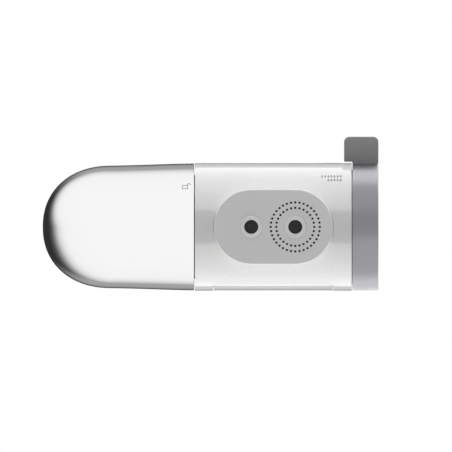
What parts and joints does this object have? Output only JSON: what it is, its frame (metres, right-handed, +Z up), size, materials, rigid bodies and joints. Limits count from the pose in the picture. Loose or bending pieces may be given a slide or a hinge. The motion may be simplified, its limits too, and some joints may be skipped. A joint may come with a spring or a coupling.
{
  "type": "tap-mounted water filter",
  "caption": "Horizontal tap-mounted water filter: white barrel with two outlets and a spray ring, twist-off steel cover over a cartridge, and a grey lever ring that selects the outlet.",
  "frame": {"origin": "middle of the tap washer's top face, on the inlet's vertical axis, where the tap's end rests", "axes": "+Z up along the inlet, +X along the barrel from the domed cover to the selector ring; the outlets face -Z and the front is -Y"},
  "size_m": [0.1633, 0.0749, 0.0793],
  "materials": {
    "white_gloss": "gloss white moulding",
    "white_satin": "satin white moulding",
    "plate_white": "smooth white moulding",
    "nozzle_white": "smooth white moulding",
    "black_mesh": "fine black woven mesh",
    "polished_steel": "mirror-polished stainless steel",
    "steel": "plain stainless steel",
    "anodised_grey": "bead-blasted and anodised grey aluminium",
    "seal_black": "black moulded rubber",
    "ceramic": null,
    "carbon": "sintered carbon, porous and matt",
    "fleece": "white spun-bonded fleece",
    "liner_grey": "pale grey moulding"
  },
  "bodies": {
    "body": {"body_shell": "white_gloss", "rear_cover": "white_gloss", "valve_block": "white_satin", "outlet_plate": "plate_white", "filtered_nozzle": "nozzle_white", "filtered_screen": "black_mesh", "filtered_gasket": "seal_black", "straight_nozzle": "nozzle_white", "straight_screen": "black_mesh", "straight_gasket": "seal_black", "spray_gasket": "seal_black", "inlet_collar": "white_satin", "inlet_seal": "seal_black", "inlet_strainer": "steel", "tap_washer": "seal_black", "fixed_disc": "ceramic", "bonnet": "white_satin", "bonnet_gasket": "seal_black", "bonnet_screw_1": "steel", "bonnet_screw_2": "steel", "bonnet_screw_3": "steel"},
    "tap_nut": {"tap_nut": "white_satin"},
    "selector": {"selector_ring": "anodised_grey", "selector_cap": "anodised_grey", "selector_screw": "steel", "valve_stem": "steel", "moving_disc": "ceramic", "stem_seal_1": "seal_black", "stem_seal_2": "seal_black"},
    "cover_seal": {"cover_seal": "seal_black"},
    "cover": {"cover_shell": "polished_steel", "cover_liner": "liner_grey"},
    "cartridge": {"cartridge_head": "white_satin", "spigot_seal": "seal_black", "fleece_wrap": "fleece", "carbon_block": "carbon", "core_tube": "white_satin", "cartridge_cap": "white_satin"}
  },
  "joints": [
    {"name": "selector_turn", "type": "hinge", "parent": "body", "child": "selector", "pos_m": [0.044, 0, -0.0379], "axis": [1, 0, 0], "range_deg": [-40, 40]},
    {"name": "cover_twist", "type": "hinge", "parent": "body", "child": "cover_seal", "pos_m": [-0.041, 0, -0.0379], "axis": [1, 0, 0], "range_deg": [0, 45]},
    {"name": "cover_pull", "type": "slide", "parent": "cover_seal", "child": "cover", "axis": [-1, 0, 0], "range_m": [0, 0.09]},
    {"name": "cartridge_unplug", "type": "slide", "parent": "body", "child": "cartridge", "axis": [-1, 0, 0], "range_m": [0, 0.006]},
    {"name": "tap_nut_turn", "type": "hinge", "parent": "body", "child": "tap_nut", "pos_m": [0, 0, 0], "axis": [0, 0, 1], "continuous": true}
  ]
}
